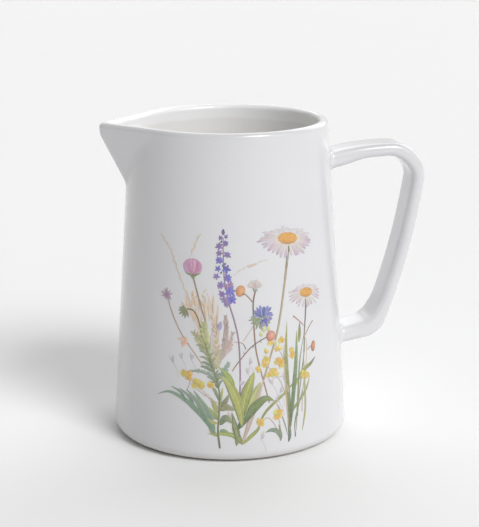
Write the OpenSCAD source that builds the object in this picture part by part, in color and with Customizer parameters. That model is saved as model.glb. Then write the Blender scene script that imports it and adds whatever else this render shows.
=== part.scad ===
// White glazed pitcher with a V spout, a strap handle and a fired wildflower print.
// Origin on the body's axis in the table plane. +Z up, handle towards +X, spout towards -X.

/* [Body] */
// Height from the table to the top of the rim
jug_h = 175; // [165:1:185]
// Outer diameter just above the rounded base corner
base_d = 131.2; // [128:0.2:134]
// Outer diameter just below the rim
rim_d = 108.4; // [106:0.2:112]
// Wall thickness, which is also the width of the half-round rim
wall_t = 5.2; // [4.6:0.1:5.8]
// Radius of the outer corner between wall and base
corner_r = 5.2; // [4.5:0.1:6]
// Height of the inner floor above the table
floor_z = 8.2; // [7:0.1:10]
// Radius of the hollow corner between wall and floor inside
fillet_r = 9; // [6:0.5:12]

/* [Foot] */
// Height of the unglazed foot ring
foot_h = 2.6; // [2:0.1:3]
// Gap between the table and the glazed corner beside the foot ring
foot_gap = 0.8; // [0.5:0.1:1]
// Width of the foot ring
foot_w = 8.4; // [6:0.1:10]
// Rounding of the foot ring's two lower edges
foot_round = 0.7; // [0.4:0.1:1]

/* [Spout] */
// Angle from the spout's middle to the direction that each flank faces, seen from above
spout_a = 41.2; // [38:0.2:44]
// How far the lip's straight sides cut inside the rim's circle where they join it
lip_bite = 0.5; // [0.3:0.1:0.8]
// Lean of the keel from the vertical
keel_a = 25.3; // [22:0.1:28]
// Rounding of the keel outside
keel_r = 3.5; // [3:0.1:4]
// Rounding of the nose, seen from above
nose_r = 3; // [2.8:0.1:3.5]

/* [Handle] */
// Width of the strap
strap_w = 22; // [20:0.5:25]
// Thickness of the strap
strap_t = 7.2; // [7:0.1:8.5]
// Rounding of the strap's long edges
strap_r = 3.4; // [2.5:0.1:3.4]
// Distance from the body's axis to where the handle's line starts inside the wall
handle_x = 52.3; // [52:0.1:53]
// Height at which the handle's line starts
handle_z = 150.8; // [148:0.1:153]
// Reach of the slip fillets round the handle's two ends
slip = 2.6; // [2:0.1:3.5]

/* [Print] */
// Thickness of the fired enamel
film_t = 0.12; // [0.1:0.01:0.3]
// Arc length from the side of the pitcher to the middle of the print
print_a = 0.5; // [-4:0.1:4]

/* [Hidden] */
$fn = 64;

rim_r = wall_t / 2;
rim_z = jug_h - rim_r;
crest_r = rim_d / 2 - rim_r;
corner_z = foot_gap + corner_r;
taper = atan((base_d - rim_d) / 2 / (rim_z - corner_z));
// Outward normal of the wall, in radius and height
wall_n = [cos(taper), sin(taper)];
rim_c = [crest_r, rim_z];
// Distance of the wall's middle line from the origin, along its normal
wall_d = rim_c * wall_n;
function line_r(z, off) = (wall_d + off - z * wall_n[1]) / wall_n[0];
function outer_r(z) = line_r(z, rim_r);
function inner_r(z) = line_r(z, -rim_r);
corner_c = [line_r(corner_z, rim_r - corner_r), corner_z];
fillet_z = floor_z + fillet_r;
fillet_c = [line_r(fillet_z, -rim_r - fillet_r), fillet_z];

// Each flank of the spout is a plane: its tilt, and its distance from the origin
flank_tilt = atan(cos(spout_a) * tan(keel_a));
lip_d = crest_r - lip_bite;
flank_d = lip_d * cos(flank_tilt) - rim_z * sin(flank_tilt) + rim_r;
// Angle from the spout's middle to where the lip's sides meet the rim's circle
sector_a = spout_a - acos(lip_d / crest_r);
// The same flank seen along the keel: the angle of its normal, and how far each unit of flank_d reaches
keel_n = atan(tan(spout_a) * cos(keel_a));
keel_reach = sqrt(pow(cos(keel_a), 2) + pow(cos(spout_a) * sin(keel_a), 2)) / cos(spout_a);
big = 200;

// The handle's line: a straight root, then bends of [radius, angle turned, steps], then a straight lower arm
handle_root = 9.1;
handle_bends = [[142.6, 11.6, 4], [16, 98.7, 12], [383, 12.1, 9], [12, 59.3, 8]];
lower_arm = 16.7;
// A pose is [radius, height, heading], and it moves on along a straight or a bend
function ahead(p, length) = [p[0] + length * cos(p[2]), p[1] + length * sin(p[2]), p[2]];
function turned(p, r, a) = [
    p[0] + r * (sin(p[2]) - sin(p[2] - a)), p[1] - r * (cos(p[2]) - cos(p[2] - a)), p[2] - a
];
handle_start = [handle_x, handle_z, handle_bends[0][1]];
function bend_start(i) = i == 0
    ? ahead(handle_start, handle_root)
    : turned(bend_start(i - 1), handle_bends[i - 1][0], handle_bends[i - 1][1]);
arm_pose = bend_start(len(handle_bends));
handle_end = ahead(arm_pose, lower_arm);
handle_line = concat(
    [handle_start],
    [for (i = [0:len(handle_bends) - 1]) let (bend = handle_bends[i])
        for (k = [0:bend[2] - 1]) turned(bend_start(i), bend[0], bend[1] * k / bend[2])],
    [arm_pose, handle_end]
);

// The print: [arc length from the pitcher's side, height] of each motif
large_daisy = [21, 118];
small_daisy = [33, 87];
white = [0.93, 0.93, 0.94];

// ---- shapes that repeat ----

module spout_side() {
    rotate([0, 0, 180]) children();
}

module outer_cone() {
    rotate_extrude($fn = 240)
        polygon([[0, 0], [outer_r(0), 0], [outer_r(jug_h), jug_h], [0, jug_h]]);
}

module strap_section(grow = 0) {
    t = strap_t + 2 * grow;
    w = strap_w + 2 * grow;
    r = strap_r + grow;
    square([t - 2 * r, w], center = true);
    square([t, w - 2 * r], center = true);
    for (x = [-1, 1], y = [-1, 1])
        translate([x * (t / 2 - r), y * (w / 2 - r)]) circle(r);
}

// A strap section's plate, standing across the handle's line at a pose
module across(pose) {
    translate([pose[0], 0, pose[1]]) rotate([0, 90 - pose[2], 0]) rotate([0, 0, 180])
        children();
}

// The strap's outline as points, [across its thickness, across its width], with round corners
corner_steps = 4;
strap_ring = [for (c = [[1, 1], [-1, 1], [-1, -1], [1, -1]]) for (k = [0:corner_steps])
    let (start = c == [1, 1] ? 0 : c == [-1, 1] ? 90 : c == [-1, -1] ? 180 : 270)
    let (a = start + 90 * k / corner_steps)
    [c[0] * (strap_t / 2 - strap_r) + strap_r * cos(a), c[1] * (strap_w / 2 - strap_r) + strap_r * sin(a)]
];

// The strap is swept along the handle's line
module strap() {
    n = len(strap_ring);
    last = len(handle_line) - 1;
    points = [for (p = handle_line) for (q = strap_ring)
        [p[0] - q[0] * sin(p[2]), q[1], p[1] + q[0] * cos(p[2])]];
    sides = [for (i = [0:last - 1]) for (k = [0:n - 1])
        [i * n + k, i * n + (k + 1) % n, (i + 1) * n + (k + 1) % n, (i + 1) * n + k]];
    ends = [[for (k = [n - 1:-1:0]) k], [for (k = [0:n - 1]) last * n + k]];
    polyhedron(points, concat(sides, ends));
}

// A wedge with a rounded edge, lying along the keel: off is its distance inside the outer flanks
module keel_wedge(off, round_r) {
    apex = (flank_d - off) * keel_reach;
    c = apex - round_r / cos(keel_n);
    tangent = [c + round_r * cos(keel_n), round_r * sin(keel_n)];
    back = tangent + big * [-sin(keel_n), cos(keel_n)];
    rotate([0, keel_a, 0]) linear_extrude(2 * big, center = true) {
        polygon([tangent, back, [back[0], -back[1]], [tangent[0], -tangent[1]]]);
        translate([c, 0]) circle(round_r);
    }
}

// The sector of the wall that the spout takes up
module spout_sector() {
    reach = big / 2 * [cos(sector_a), sin(sector_a)];
    translate([0, 0, 100])
        linear_extrude(100) polygon([[0, 0], reach, [reach[0], -reach[1]]]);
}

// A wedge round the lip, seen from above, which rounds the nose
module nose_wedge() {
    side_d = lip_d + rim_r;
    c = [(side_d - nose_r) / cos(spout_a), 0];
    tangent = c + nose_r * [cos(spout_a), sin(spout_a)];
    back = tangent + big * [-sin(spout_a), cos(spout_a)];
    linear_extrude(big) {
        polygon([tangent, back, [back[0], -back[1]], [tangent[0], -tangent[1]]]);
        translate(c) circle(nose_r);
    }
}

// One flank of the spout: a wall with a half-round lip, leaning out over the keel
module flank(side) {
    depth = 60;
    rotate([0, 0, side * spout_a]) translate([lip_d, 0, rim_z]) rotate([0, flank_tilt, 0])
        rotate([90, 0, 0]) linear_extrude(big, center = true) {
            translate([-rim_r, -depth]) square([wall_t, depth]);
            circle(rim_r);
        }
}

// ---- fired pieces ----

module body_outline() {
    rim_in = rim_c - rim_r * wall_n;
    translate(rim_c) circle(rim_r);
    difference() {
        union() {
            translate(corner_c) circle(corner_r);
            polygon([
                [0, foot_gap], [corner_c[0], foot_gap], corner_c + corner_r * wall_n,
                rim_c + rim_r * wall_n, rim_in, [0, rim_in[1]]
            ]);
        }
        polygon([
            [0, floor_z], [fillet_c[0], floor_z], fillet_c + fillet_r * wall_n, rim_in, [0, jug_h]
        ]);
        translate(fillet_c) circle(fillet_r);
        translate([0, -foot_h]) square([corner_c[0], 2 * foot_h]);
    }
}

module body() {
    color(white) difference() {
        rotate_extrude() body_outline();
        spout_side() intersection() {
            keel_wedge(0, keel_r);
            spout_sector();
        }
    }
}

module pouring_spout() {
    // The flanks already have the outer planes, so the wedge that rounds the keel stays just outside them
    clear = 0.2;
    color(white) spout_side() difference() {
        intersection() {
            union() {
                flank(1);
                flank(-1);
            }
            keel_wedge(-clear, keel_r + clear);
            nose_wedge();
            spout_sector();
        }
        rotate_extrude() polygon([
            [0, floor_z], [inner_r(floor_z), floor_z], rim_c - rim_r * wall_n,
            [0, rim_z - rim_r * wall_n[1]]
        ]);
    }
}

module handle() {
    color(white) difference() {
        strap();
        outer_cone();
    }
}

// A fillet of slip round the strap where it meets the wall, about a pose on the strap's straight end
module slip_collar(pose) {
    length = 2 * slip;
    difference() {
        hull() {
            across(pose) linear_extrude(slip, center = true) strap_section(slip);
            across(ahead(pose, length)) linear_extrude(0.4) strap_section(0.4);
        }
        across(ahead(pose, -length)) linear_extrude(3 * length) strap_section();
        outer_cone();
    }
}

module upper_handle_joint() {
    color(white) slip_collar(ahead(handle_start, 3.6));
}

module lower_handle_joint() {
    color(white) slip_collar([handle_end[0] + 2, handle_end[1] + 2 * tan(arm_pose[2]), arm_pose[2] + 180]);
}

module foot_ring() {
    in_r = corner_c[0] - foot_w;
    color([0.86, 0.82, 0.75]) rotate_extrude() {
        translate([in_r, foot_round]) square([foot_w, foot_h - foot_round]);
        translate([in_r + foot_round, 0]) square([foot_w - 2 * foot_round, foot_h]);
        for (x = [in_r + foot_round, corner_c[0] - foot_round])
            translate([x, foot_round]) circle(foot_round);
    }
}

// ---- the print: enamel islands on the wall ----

// The film of enamel that every island is cut from
module film() {
    low = 8;
    high = 140;
    rotate([0, 0, -165]) rotate_extrude(angle = 150) polygon([
        [outer_r(low), low], [outer_r(low) + film_t, low],
        [outer_r(high) + film_t, high], [outer_r(high), high]
    ]);
}

// Stands 2D artwork on the wall at a place in the print, turned by an angle, and cuts it from the film
module at_place(place, turn = 0) {
    rotate([0, 0, (place[0] + print_a) / outer_r(place[1]) * 180 / PI - 90])
        translate([outer_r(place[1]), 0, place[1]]) rotate([0, -taper, 0])
            rotate([90, 0, 90]) rotate([0, 0, turn]) translate([0, 0, -7])
                linear_extrude(9) children();
}

module enamel(tint) {
    color(tint) intersection() {
        film();
        union() children();
    }
}

// A leaf or petal from the origin along +Y: length, width, and where its widest point lies
module blade(length, width, belly = 0.5) {
    steps = 10;
    right = [for (i = [0:steps]) let (u = i / steps)
        [width / 2 * sin(180 * pow(u, ln(0.5) / ln(belly))) + 0.1, length * u]];
    left = [for (i = [steps:-1:0]) [-right[i][0], right[i][1]]];
    polygon(concat(right, left));
}

// A blade that starts at one place in the print and points to another
module blade_to(from, to, width, belly = 0.5) {
    d = to - from;
    middle = from + 0.5 * d;
    at_place(middle, atan2(d[1], d[0]) - 90)
        translate([0, -norm(d) / 2]) blade(norm(d), width, belly);
}

// A stem through a few places in the print
module stem(route, width) {
    for (i = [0:len(route) - 2]) {
        d = route[i + 1] - route[i];
        at_place(route[i] + 0.5 * d, atan2(d[1], d[0]))
            square([norm(d) + 0.3 * width, width], center = true);
    }
}

// A daisy's petals, seen at a slant: half-width and half-height of the flower, petals, and disc radius
module daisy(place, rx, ry, petals, disc_r) {
    for (i = [0:petals - 1]) {
        a = 360 * (i + 0.5) / petals;
        tip = [rx * cos(a), ry * sin(a)];
        root = disc_r * [1.05 * cos(a), 0.62 * sin(a)];
        blade_to(place + root, place + tip, 5.2 * rx / 16.5 * (0.36 + 0.3 * abs(sin(a))), 0.62);
    }
}

module oval(place, width, height) {
    at_place(place) polygon([for (i = [0:15]) 0.5 * [width * cos(22.5 * i), height * sin(22.5 * i)]]);
}

module print_large_daisy() {
    enamel([0.88, 0.8, 0.87]) daisy(large_daisy, 16.5, 8.5, 16, 6.4);
}

module print_small_daisy() {
    enamel([0.88, 0.8, 0.87]) daisy(small_daisy, 11, 6.5, 13, 4);
}

module print_daisy_discs() {
    enamel([0.88, 0.63, 0.16]) {
        oval(large_daisy, 12.4, 7);
        oval(small_daisy, 7.6, 4.4);
    }
}

module print_larkspur() {
    enamel([0.4, 0.38, 0.7]) for (i = [0:9]) {
        h = 90 + 3.7 * i;
        spread = 5.2 - 0.42 * i;
        for (side = [-1, 1]) oval([-14 + side * spread * 0.62, h], spread, 2.7);
    }
}

module print_clover() {
    enamel([0.78, 0.5, 0.66]) {
        oval([-31, 106], 9.5, 7.5);
        oval([-46, 90], 6, 4);
    }
}

module print_cornflower() {
    enamel([0.3, 0.35, 0.66]) for (i = [0:8])
        blade_to([6, 79], [6, 79] + 6.4 * [cos(40 * i), 0.9 * sin(40 * i)], 3.4, 0.7);
}

module print_berries() {
    enamel([0.85, 0.5, 0.34]) {
        for (place = [[-5, 94], [10, 68], [38, 58]]) oval(place, 5, 4.6);
        oval([2, 96], 6, 4.4);
    }
}

module print_buttercups() {
    places = [
        [-37, 48], [-33, 44], [-28, 44], [-22, 43], [17, 65], [15, 60], [8, 57], [15, 53], [4, 51],
        [10, 47], [23, 56], [31, 44], [14, 26], [4, 20]
    ];
    enamel([0.93, 0.8, 0.3]) for (place = places) oval(place, 4.6, 3.6);
}

module print_flower_stems() {
    enamel([0.62, 0.6, 0.42]) {
        stem([[21, 109], [18, 97], [13, 70]], 0.9);
        stem([[32, 80], [31, 69]], 0.8);
        stem([[-14, 88], [-10, 67], [-8, 56]], 0.8);
        stem([[-30, 101], [-27, 88], [-24, 81]], 0.7);
        stem([[-45, 87], [-42, 77], [-37, 68]], 0.6);
    }
}

module print_grass_blades() {
    enamel([0.55, 0.68, 0.36]) {
        blade_to([19, 13], [20, 51], 2.2, 0.4);
        blade_to([24, 15], [25, 66], 2.2, 0.4);
        blade_to([29, 14], [33, 41], 2, 0.4);
        blade_to([29, 46], [38, 52], 1.8, 0.4);
    }
}

module print_broad_leaves() {
    enamel([0.5, 0.65, 0.3]) {
        blade_to([-7, 20], [-16, 50], 6, 0.45);
        blade_to([-5, 20], [0, 49], 6.4, 0.45);
        blade_to([-2, 20], [11, 34], 4.4, 0.45);
        blade_to([-24, 24], [-52, 36], 4, 0.4);
        blade_to([-7, 11], [-11, 18], 3, 0.4);
    }
}

module print_leafy_stems() {
    enamel([0.62, 0.7, 0.36]) for (i = [0:6]) for (side = [-1, 1]) {
        root = [-20.5 + 0.4 * i + 0.9 * side, 52 + 4 * i];
        blade_to(root, root + [side * (5.4 - 0.4 * i), 3], 2.2, 0.5);
    }
}

module print_seed_wisps() {
    enamel([0.84, 0.79, 0.69]) {
        for (i = [0:5]) blade_to([-35 - 2 * i, 93 + 4.6 * i], [-36.5 - 2 * i, 96.5 + 4.6 * i], 1.8);
        blade_to([-8, 102], [0, 105], 1.8);
        blade_to([2, 106], [7, 108], 1.8);
        blade_to([-32, 112], [-27, 121], 1.8);
    }
}

body();
pouring_spout();
handle();
upper_handle_joint();
lower_handle_joint();
foot_ring();
print_large_daisy();
print_small_daisy();
print_daisy_discs();
print_larkspur();
print_clover();
print_cornflower();
print_berries();
print_buttercups();
print_flower_stems();
print_grass_blades();
print_broad_leaves();
print_leafy_stems();
print_seed_wisps();
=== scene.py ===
"""The looks of a ceramic pitcher: glazed shell with a V spout, strap handle, and a fired wildflower print."""
import math
import random

import bpy
import numpy as np
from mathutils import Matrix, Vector


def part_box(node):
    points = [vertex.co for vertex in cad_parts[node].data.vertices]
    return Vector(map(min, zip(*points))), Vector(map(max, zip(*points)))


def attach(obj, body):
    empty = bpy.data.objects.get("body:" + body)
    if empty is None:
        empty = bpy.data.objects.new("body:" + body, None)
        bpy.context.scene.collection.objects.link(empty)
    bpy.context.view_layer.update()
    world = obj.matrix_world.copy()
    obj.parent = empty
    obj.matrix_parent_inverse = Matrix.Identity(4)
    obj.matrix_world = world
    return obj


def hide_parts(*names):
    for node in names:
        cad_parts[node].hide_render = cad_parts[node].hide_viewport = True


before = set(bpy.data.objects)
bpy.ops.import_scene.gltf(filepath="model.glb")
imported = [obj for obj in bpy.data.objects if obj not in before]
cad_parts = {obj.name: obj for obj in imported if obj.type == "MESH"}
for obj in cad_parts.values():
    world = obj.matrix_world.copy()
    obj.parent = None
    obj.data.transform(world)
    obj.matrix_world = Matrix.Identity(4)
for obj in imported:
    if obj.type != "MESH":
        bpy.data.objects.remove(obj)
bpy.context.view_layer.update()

MM = 0.001

# ---- sizes, in millimetres, as part.scad has them ----

JUG_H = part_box("body")[1][2] / MM
BASE_R = 65.6  # outer radius at the top of the base corner
RIM_R = 54.2  # outer radius where the half-round rim starts
WALL = 5.2
LIP = WALL / 2
RIM_Z = JUG_H - LIP
CORNER = 5.2
CORNER_Z = 6.0
FOOT_OUT_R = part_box("foot_ring")[1][0] / MM
FOOT_TOP_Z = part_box("foot_ring")[1][2] / MM
FLOOR_Z = 8.2
FILLET = 9.0
TAPER = math.atan((BASE_R - RIM_R) / (RIM_Z - CORNER_Z))

# the spout: each flank faces FLANK_A degrees from the spout's middle
FLANK_A = math.radians(41.2)
NOSE_X = 70.38
NOSE_Z = 171.4
NOSE_ROUND = 4.0
CHANNEL_ROUND = 2.0
KEEL_SLOPE = 0.495
KEEL_BEND = 5.4
# the spout's wall is a little thicker than the body's
SPOUT_WALL = WALL * 1.06
# the hollow between spout and wall is this round at the first height, and sharper at the second
CREASE, CREASE_SHARP = 2.2, 0.25
CREASE_HEIGHTS = (155, 170)
SPOUT_HALF = 46.0
SPOUT_LOW_Z = 134.0

# the handle: a straight root, bends of (radius, degrees), a straight lower arm
STRAP_W, STRAP_T, STRAP_ROUND = 22.0, 7.2, 3.4
HANDLE_START = (52.3, 150.8, 11.6)
HANDLE_ROOT = 9.1
HANDLE_BENDS = ((142.6, 11.6), (16.0, 98.7), (383.0, 12.1), (12.0, 59.3))
LOWER_ARM = 16.7
# the strap is this much thicker on its inner side at its two ends, and the extra fades out between
# these distances from that end
UNDER_ROOT, ROOT_FADE = 1.7, (26, 8)
UNDER_LOW, LOW_FADE = 1.7, (43, 21)
# the inner side of each bend is fuller too: how far along from its end of the strap, and by how much
UPPER_BEND, LOWER_BEND = (50.0, 1.0), (23.0, 1.2)
BEND_REACH = 15
SLIP = 2.6

# how far the whole print is moved along the wall and up
PRINT_ARC, PRINT_RISE = 0.5, 0.4
# enamel patches of one motif lie on one of several levels, this far apart
LAYER = 0.005
# the back of each patch lies this far inside the glaze
PRINT_SUNK = -0.04
DAISY_LEAN = -9
# how much stronger and deeper the enamels are fired than their named colours
VIVID, DEEP = 1.45, 0.93


# ---- small helpers ----

def wall_r(z, offset=0.0):
    """Radius of the wall's outer surface at height z, moved outward along its normal by offset."""
    return RIM_R + (RIM_Z - z) * math.tan(TAPER) + offset / math.cos(TAPER)


def smooth_max(a, b, k):
    """The larger of a and b, with the corner between them rounded over a distance k."""
    h = max(k - abs(a - b), 0.0) / k
    return max(a, b) + 0.25 * k * h * h


def smoothstep(low, high, x):
    """0 at low and 1 at high, with a soft start and end. low may be the larger of the two."""
    t = min(max((x - low) / (high - low), 0.0), 1.0)
    return t * t * (3 - 2 * t)


def unit(degrees):
    """Cosine and sine of an angle."""
    a = math.radians(degrees)
    return math.cos(a), math.sin(a)


def linked(name, data):
    """A new object in the scene."""
    obj = bpy.data.objects.new(name, data)
    bpy.context.scene.collection.objects.link(obj)
    return obj


def new_object(name, points, faces, material):
    """A smooth mesh object from points in millimetres."""
    mesh = bpy.data.meshes.new(name)
    mesh.from_pydata([tuple(c * MM for c in p) for p in points], [], faces)
    mesh.polygons.foreach_set("use_smooth", [True] * len(mesh.polygons))
    mesh.materials.append(material)
    mesh.validate()
    return linked(name, mesh)


# ---- camera ----

# place in metres; then how far it looks down, leans over and turns from the +y direction, in degrees
CAMERA_AT = (-0.1461, -0.7981, 0.3033)
LOOKS_DOWN, ROLL, TURN = 14.53, 0.26, -10.84
SENSOR, LENS = 36, 102.62


def add_camera():
    cam = bpy.data.cameras.new("camera")
    cam.sensor_width, cam.lens = SENSOR, LENS
    cam.clip_start, cam.clip_end = 0.05, 50
    obj = linked("camera", cam)
    obj.location = CAMERA_AT
    obj.rotation_euler = [math.radians(a) for a in (90 - LOOKS_DOWN, ROLL, TURN)]
    bpy.context.scene.camera = obj


# ---- the glazed shell: body and spout share one grid, so that they meet without a step ----

def beak_r(theta, z, inward):
    """Radius of the spout's V at angle theta from its middle and height z, moved inward."""
    drop = max(NOSE_Z - z, 0.0)
    fall = drop * drop / (2 * KEEL_BEND) if drop < KEEL_BEND else drop - KEEL_BEND / 2
    side = (NOSE_X - NOSE_ROUND) * math.cos(FLANK_A) + NOSE_ROUND
    side -= KEEL_SLOPE * math.cos(FLANK_A) * fall
    round_r = CHANNEL_ROUND if inward else NOSE_ROUND
    side -= inward
    centre = (side - round_r) / math.cos(FLANK_A)
    if centre <= 0:
        return 0.0
    t = abs(theta)
    edge = math.atan2(round_r * math.sin(FLANK_A), centre + round_r * math.cos(FLANK_A))
    if t < edge:
        return centre * math.cos(t) + math.sqrt(round_r ** 2 - (centre * math.sin(t)) ** 2)
    if t > FLANK_A:
        return side * math.cos(min(2 * (t - FLANK_A), 1.5))
    return side / math.cos(t - FLANK_A)


def outside_r(theta, z):
    low, high = CREASE_HEIGHTS
    crease = CREASE * (CREASE_SHARP + (1 - CREASE_SHARP) * smoothstep(high, low, z))
    return smooth_max(wall_r(z), beak_r(theta, z, 0.0), crease)


def inside_r(theta, z):
    return smooth_max(wall_r(z, -WALL), beak_r(theta, z, SPOUT_WALL), CREASE)


def grid_angles():
    """Angles from the spout's middle, close together round the spout and wider elsewhere."""
    half = list(np.arange(0, 7, 0.6)) + list(np.arange(7, SPOUT_HALF, 1.0))
    half += list(np.linspace(SPOUT_HALF, 180, 68))
    return np.radians([-a for a in half[:0:-1]] + half[:-1])


def wall_heights():
    """Heights of the wall's rows from the base corner to the rim; the same list serves inside and outside."""
    low = list(np.linspace(CORNER_Z + CORNER * math.sin(TAPER), SPOUT_LOW_Z, 34))
    return low[:-1], list(np.linspace(SPOUT_LOW_Z, RIM_Z, 40))


def shell_rows():
    """The profile as rows. Each is a function of the angle that gives (radius, height)."""
    rows = [lambda t, r=r: (r, FOOT_TOP_Z) for r in (20, 40, FOOT_OUT_R - 0.4)]
    rows += [lambda t, z=z: (FOOT_OUT_R, z) for z in (FOOT_TOP_Z - 0.4, CORNER_Z - CORNER + 0.3)]
    cr = wall_r(CORNER_Z, -CORNER)
    for a in np.linspace(-math.pi / 2, TAPER, 12)[:-1]:
        rows.append(lambda t, a=a: (cr + CORNER * math.cos(a), CORNER_Z + CORNER * math.sin(a)))
    low, high = wall_heights()
    rows += [lambda t, z=z: (wall_r(z), z) for z in low]
    first_high = len(rows)
    rows += [lambda t, z=z: (outside_r(t, z), z) for z in high]
    for a in np.linspace(0, math.pi, 19)[1:-1]:
        rows.append(lambda t, a=a: lip_point(t, a))
    rows += [lambda t, z=z: (inside_r(t, z), z) for z in reversed(high)]
    last_high = len(rows) - 1
    fz = FLOOR_Z + FILLET
    fr = wall_r(fz, -WALL - FILLET)
    rows += [lambda t, z=z: (wall_r(z, -WALL), z) for z in reversed(low) if z > fz + 2]
    for a in np.linspace(-TAPER, math.pi / 2, 12):
        rows.append(lambda t, a=a: (fr + FILLET * math.cos(a), fz - FILLET * math.sin(a)))
    rows += [lambda t, r=r: (r, FLOOR_Z) for r in (40, 26, 12)]
    return rows, first_high, last_high


def lip_point(theta, a):
    out, inn = outside_r(theta, RIM_Z), inside_r(theta, RIM_Z)
    middle, half = (out + inn) / 2, (out - inn) / 2
    return middle + half * math.cos(a), RIM_Z + LIP * math.sin(a)


def cut_faces(low, high, columns, m):
    """Faces that close the spout's cut through the wall, whose rows low to high run over the rim."""
    left, right = columns[0], columns[-1] + 1
    cut = []
    for k in range((high - low) // 2):
        a, b = low + k, high - k
        cut.append((a * m + left, (a + 1) * m + left, (b - 1) * m + left, b * m + left))
        cut.append((a * m + right, b * m + right, (b - 1) * m + right, (a + 1) * m + right))
    return cut + [(low * m + j, high * m + j, high * m + j + 1, low * m + j + 1) for j in columns]


def build_shell(material):
    """Body and spout, split where the spout's wall section is set in."""
    rows, first_high, last_high = shell_rows()
    angles = grid_angles()
    n, m = len(rows), len(angles)
    points, lining = [], []
    for i, row in enumerate(rows):
        for t in angles:
            r, z = row(t)
            points.append((-r * math.cos(t), -r * math.sin(t), z))
            # 1 on the inside, where the glaze takes the lining colour, painted lighter and warmer as bounce
            # light
            lining.append(smoothstep(-5, 5, i - (first_high + last_high) / 2))
    points += [(0, 0, FOOT_TOP_Z), (0, 0, FLOOR_Z)]
    lining += [0, 1]
    quads = {(i, j): (i * m + j, i * m + (j + 1) % m, (i + 1) * m + (j + 1) % m,
            (i + 1) * m + j) for i in range(n - 1) for j in range(m)}
    fans = [(n * m, (j + 1) % m, j) for j in range(m)]
    fans += [(n * m + 1, (n - 1) * m + j, (n - 1) * m + (j + 1) % m) for j in range(m)]

    whole = new_object("whole", points, list(quads.values()) + fans, material)
    normals = [tuple(v.normal) for v in whole.data.vertices]
    bpy.data.objects.remove(whole)

    half = math.radians(SPOUT_HALF) + 1e-6
    columns = [j for j in range(m) if abs(angles[j]) < half and angles[(j + 1) % m] <= half]
    cut = cut_faces(first_high, last_high, columns, m)
    cells = {(i, j) for i in range(first_high, last_high) for j in columns}
    spout_faces = [face for cell, face in quads.items() if cell in cells]
    body_faces = [face for cell, face in quads.items() if cell not in cells] + fans
    pieces = []
    for name, shown, hidden in (("jug_body", body_faces, [f[::-1] for f in cut]),
            ("jug_spout", spout_faces, cut)):
        used = sorted({i for f in shown + hidden for i in f})
        index = {old: new for new, old in enumerate(used)}
        piece = closed_piece(name, [points[i] for i in used], [tuple(index[i] for i in f) for f in shown],
                [normals[i] for i in used], [tuple(index[i] for i in f) for f in hidden], material)
        layer = piece.data.attributes.new("lining", "FLOAT", "POINT")
        layer.data.foreach_set("value", [lining[i] for i in used])
        pieces.append(piece)
    return pieces


def closed_piece(name, points, shown, normals, hidden, material):
    """A closed mesh: its shown faces take the normal of each point, and its hidden ones are flat."""
    obj = new_object(name, points, shown + hidden, material)
    mesh = obj.data
    kept = []
    for poly in mesh.polygons:
        for v in poly.vertices:
            kept.append(tuple(poly.normal) if poly.index >= len(shown) else normals[v])
    mesh.normals_split_custom_set(kept)
    return obj


# ---- the handle ----

def handle_line(step=1.2):
    """Poses along the handle's middle line: (x, z, heading in degrees)."""
    x, z, h = HANDLE_START
    line = []

    def straight(length):
        nonlocal x, z
        c, s = unit(h)
        count = max(int(length / step), 2)
        for i in range(count):
            gone = length * i / count
            line.append((x + gone * c, z + gone * s, h))
        x += length * c
        z += length * s

    straight(HANDLE_ROOT)
    for radius, turn in HANDLE_BENDS:
        count = max(int(radius * math.radians(turn) / step), int(turn / 4))
        c, s = unit(h)
        cx, cz = x + radius * s, z - radius * c
        for i in range(count):
            here = h - turn * i / count
            c, s = unit(here)
            line.append((cx - radius * s, cz + radius * c, here))
        h -= turn
        c, s = unit(h)
        x, z = cx - radius * s, cz + radius * c
    straight(LOWER_ARM)
    line.append((x, z, h))
    return line


def strap_ring(corner=8, sides=4, under=0.0):
    """The strap's outline, [(across the thickness, across the width)]; under thickens its inner side."""
    t, w, r = STRAP_T / 2 - STRAP_ROUND, STRAP_W / 2 - STRAP_ROUND, STRAP_ROUND
    arcs = []
    for sx, sy, start in ((1, 1, 0), (-1, 1, 90), (-1, -1, 180), (1, -1, 270)):
        ways = [unit(start + 90 * k / corner) for k in range(corner + 1)]
        arcs.append([(sx * t + r * c, sy * w + r * s) for c, s in ways])
    ring = []
    for arc, after in zip(arcs, arcs[1:] + arcs[:1]):
        (ax, ay), (bx, by) = arc[-1], after[0]
        ring += arc + [(ax + (bx - ax) * k / sides, ay + (by - ay) * k / sides) for k in range(1, sides)]
    return [(p - under if p < 0 else p, q) for p, q in ring]


def on_pose(pose, q):
    """A point of the strap's outline, set at a pose of its middle line."""
    x, z, h = pose
    c, s = unit(h)
    return x - q[0] * s, q[1], z + q[0] * c


def build_handle(line, material):
    n = len(strap_ring())
    gone = [0.0]
    for a, b in zip(line, line[1:]):
        gone.append(gone[-1] + math.hypot(b[0] - a[0], b[1] - a[1]))
    points = []
    for pose, run in zip(line, gone):
        left = gone[-1] - run
        under = UNDER_ROOT * smoothstep(*ROOT_FADE, run) + UNDER_LOW * smoothstep(*LOW_FADE, left)
        for (place, full), here in ((UPPER_BEND, run), (LOWER_BEND, left)):
            under += full * smoothstep(BEND_REACH, 0, abs(here - place))
        points += [on_pose(pose, q) for q in strap_ring(under=under)]
    faces = [(i * n + k, i * n + (k + 1) % n, (i + 1) * n + (k + 1) % n,
            (i + 1) * n + k) for i in range(len(line) - 1) for k in range(n)]
    faces += [tuple(range(n - 1, -1, -1)), tuple((len(line) - 1) * n + k for k in range(n))]
    return new_object("strap_handle", points, faces, material)


def wall_hit(start, way):
    """How far from start, going along way, the wall's outer surface lies."""
    low, high = 0.0, 30.0
    for _ in range(40):
        mid = (low + high) / 2
        p = start + mid * way
        outside = math.hypot(p.x, p.y) > wall_r(p.z)
        low, high = (low, mid) if outside else (mid, high)
    return low


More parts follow.
